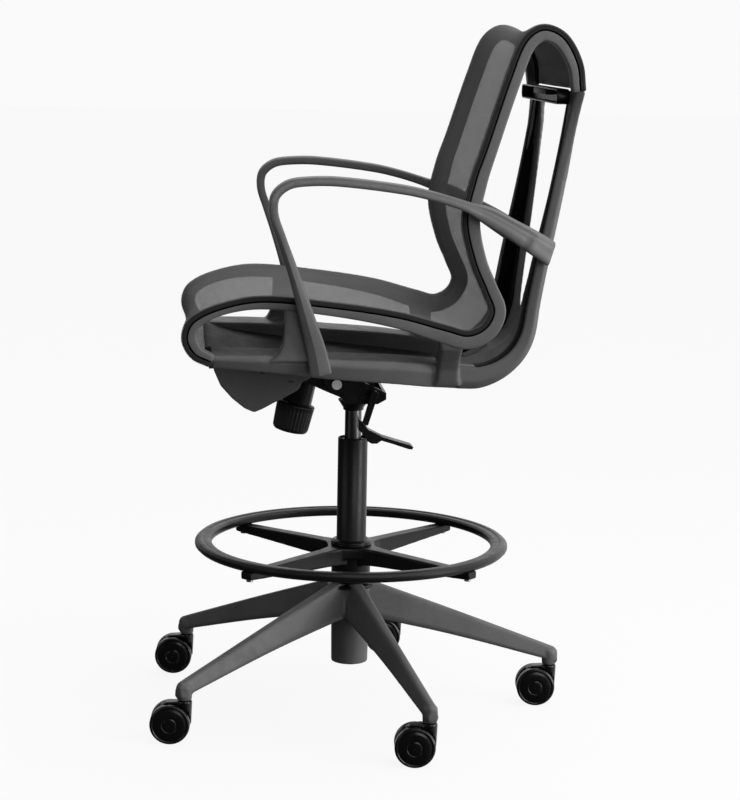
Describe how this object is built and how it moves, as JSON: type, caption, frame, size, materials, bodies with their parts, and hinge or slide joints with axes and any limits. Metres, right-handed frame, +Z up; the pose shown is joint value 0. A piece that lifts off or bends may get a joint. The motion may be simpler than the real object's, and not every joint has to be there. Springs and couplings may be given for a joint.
{
  "type": "drafting chair",
  "caption": "Drafting chair with a one-piece mesh seat and back, loop arms, gas lift, sliding foot ring and five-star base on casters.",
  "frame": {"origin": "on the floor, on the column's axis", "axes": "+Z up; the sitter faces -Y; the sitter's left is +X"},
  "size_m": [0.7042, 0.6949, 1.1564],
  "materials": {
    "mesh_fabric": "open knitted mesh, heathered grey",
    "edge_trim": "soft dark trim",
    "frame_plastic": "fine moulded grain, satin",
    "base_plastic": "fine moulded grain, satin",
    "black_plastic": "moulded black, satin",
    "caster_plastic": "gloss black nylon",
    "black_metal": "gloss black powder coat",
    "steel": "machined steel"
  },
  "bodies": {
    "base": {"base_star": "base_plastic", "base_hub_cap": "black_plastic", "outer_tube": "black_metal", "guide_bush": "black_plastic", "thrust_bearing": "steel", "caster_sockets": "black_plastic"},
    "foot_ring": {"foot_ring": "black_metal", "ring_spider": "black_metal", "ring_screws": "steel", "ring_collar": "black_metal"},
    "rod": {"piston_rod": "steel", "retaining_clip": "steel"},
    "lift": {"gas_cylinder": "black_metal", "mechanism_housing": "black_metal", "taper_socket": "black_metal", "pivot_pin": "steel", "tension_spring": "steel"},
    "valve": {"release_pin": "steel"},
    "lever": {"height_lever": "black_metal", "lever_paddle": "black_plastic"},
    "knob": {"tension_knob": "black_plastic", "tension_screw": "steel"},
    "seat": {"seat_plate": "black_metal", "seat_screws": "steel", "mesh_sheet": "mesh_fabric", "edge_gasket_left": "edge_trim", "edge_gasket_right": "edge_trim", "side_rail_left": "frame_plastic", "side_rail_right": "frame_plastic", "lower_beam_left": "frame_plastic", "lower_beam_right": "frame_plastic", "rail_posts": "frame_plastic", "spine_frame": "frame_plastic", "top_crossbar": "black_plastic", "front_cover": "frame_plastic", "front_cross_member": "frame_plastic", "arm_left": "frame_plastic", "arm_right": "frame_plastic"},
    "caster_1": {"caster_1_fork": "caster_plastic", "caster_1_pins": "steel"},
    "caster_1_left": {"caster_1_wheel_left": "caster_plastic"},
    "caster_1_right": {"caster_1_wheel_right": "caster_plastic"},
    "caster_2": {"caster_2_fork": "caster_plastic", "caster_2_pins": "steel"},
    "caster_2_left": {"caster_2_wheel_left": "caster_plastic"},
    "caster_2_right": {"caster_2_wheel_right": "caster_plastic"},
    "caster_3": {"caster_3_fork": "caster_plastic", "caster_3_pins": "steel"},
    "caster_3_left": {"caster_3_wheel_left": "caster_plastic"},
    "caster_3_right": {"caster_3_wheel_right": "caster_plastic"},
    "caster_4": {"caster_4_fork": "caster_plastic", "caster_4_pins": "steel"},
    "caster_4_left": {"caster_4_wheel_left": "caster_plastic"},
    "caster_4_right": {"caster_4_wheel_right": "caster_plastic"},
    "caster_5": {"caster_5_fork": "caster_plastic", "caster_5_pins": "steel"},
    "caster_5_left": {"caster_5_wheel_left": "caster_plastic"},
    "caster_5_right": {"caster_5_wheel_right": "caster_plastic"}
  },
  "joints": [
    {"name": "foot_ring_slide", "type": "slide", "parent": "base", "child": "foot_ring", "axis": [0, 0, 1], "range_m": [0, 0.12]},
    {"name": "seat_swivel", "type": "hinge", "parent": "base", "child": "rod", "pos_m": [0, 0, 0.11], "axis": [0, 0, 1], "continuous": true},
    {"name": "seat_lift", "type": "slide", "parent": "rod", "child": "lift", "axis": [0, 0, 1], "range_m": [-0.035, 0.2]},
    {"name": "valve_press", "type": "slide", "parent": "lift", "child": "valve", "axis": [0, 0, -1], "range_m": [0, 0.005], "stiffness_N_per_m": 40, "springref_m": -0.0005},
    {"name": "height_lever_pull", "type": "hinge", "parent": "lift", "child": "lever", "pos_m": [0, 0.028, 0.55], "axis": [1, 0, 0], "range_deg": [0, 10], "stiffness_Nm_per_rad": 2, "springref_deg": -17.19},
    {"name": "tension_turn", "type": "hinge", "parent": "lift", "child": "knob", "pos_m": [0, -0.0965, 0.523], "axis": [0, -0.2164, -0.9763], "continuous": true},
    {"name": "seat_tilt", "type": "hinge", "parent": "lift", "child": "seat", "pos_m": [0, -0.033, 0.564], "axis": [-1, 0, 0], "range_deg": [0, 15], "stiffness_Nm_per_rad": 120, "springref_deg": -17.19},
    {"name": "caster_1_swivel", "type": "hinge", "parent": "base", "child": "caster_1", "pos_m": [0.32902, 0.10311, 0.07], "axis": [0, 0, 1], "continuous": true},
    {"name": "caster_1_roll_left", "type": "hinge", "parent": "caster_1", "child": "caster_1_left", "pos_m": [0.32743, 0.08027, 0.0325], "axis": [0.9976, -0.0698, 0], "continuous": true},
    {"name": "caster_1_roll_right", "type": "hinge", "parent": "caster_1", "child": "caster_1_right", "pos_m": [0.32743, 0.08027, 0.0325], "axis": [0.9976, -0.0698, 0], "continuous": true},
    {"name": "caster_2_swivel", "type": "hinge", "parent": "base", "child": "caster_2", "pos_m": [0.00361, 0.34478, 0.07], "axis": [0, 0, 1], "continuous": true},
    {"name": "caster_2_roll_left", "type": "hinge", "parent": "caster_2", "child": "caster_2_left", "pos_m": [0.00201, 0.32194, 0.0325], "axis": [0.9976, -0.0698, 0], "continuous": true},
    {"name": "caster_2_roll_right", "type": "hinge", "parent": "caster_2", "child": "caster_2_right", "pos_m": [0.00201, 0.32194, 0.0325], "axis": [0.9976, -0.0698, 0], "continuous": true},
    {"name": "caster_3_swivel", "type": "hinge", "parent": "base", "child": "caster_3", "pos_m": [-0.32679, 0.10998, 0.07], "axis": [0, 0, 1], "continuous": true},
    {"name": "caster_3_roll_left", "type": "hinge", "parent": "caster_3", "child": "caster_3_left", "pos_m": [-0.32839, 0.08713, 0.0325], "axis": [0.9976, -0.0698, 0], "continuous": true},
    {"name": "caster_3_roll_right", "type": "hinge", "parent": "caster_3", "child": "caster_3_right", "pos_m": [-0.32839, 0.08713, 0.0325], "axis": [0.9976, -0.0698, 0], "continuous": true},
    {"name": "caster_4_swivel", "type": "hinge", "parent": "base", "child": "caster_4", "pos_m": [-0.20558, -0.27681, 0.07], "axis": [0, 0, 1], "continuous": true},
    {"name": "caster_4_roll_left", "type": "hinge", "parent": "caster_4", "child": "caster_4_left", "pos_m": [-0.20718, -0.29966, 0.0325], "axis": [0.9976, -0.0698, 0], "continuous": true},
    {"name": "caster_4_roll_right", "type": "hinge", "parent": "caster_4", "child": "caster_4_right", "pos_m": [-0.20718, -0.29966, 0.0325], "axis": [0.9976, -0.0698, 0], "continuous": true},
    {"name": "caster_5_swivel", "type": "hinge", "parent": "base", "child": "caster_5", "pos_m": [0.19974, -0.28106, 0.07], "axis": [0, 0, 1], "continuous": true},
    {"name": "caster_5_roll_left", "type": "hinge", "parent": "caster_5", "child": "caster_5_left", "pos_m": [0.19814, -0.3039, 0.0325], "axis": [0.9976, -0.0698, 0], "continuous": true},
    {"name": "caster_5_roll_right", "type": "hinge", "parent": "caster_5", "child": "caster_5_right", "pos_m": [0.19814, -0.3039, 0.0325], "axis": [0.9976, -0.0698, 0], "continuous": true}
  ],
  "couplings": [
    {"joint": "valve_press", "follows": "height_lever_pull", "m_per_rad": 0.028}
  ]
}
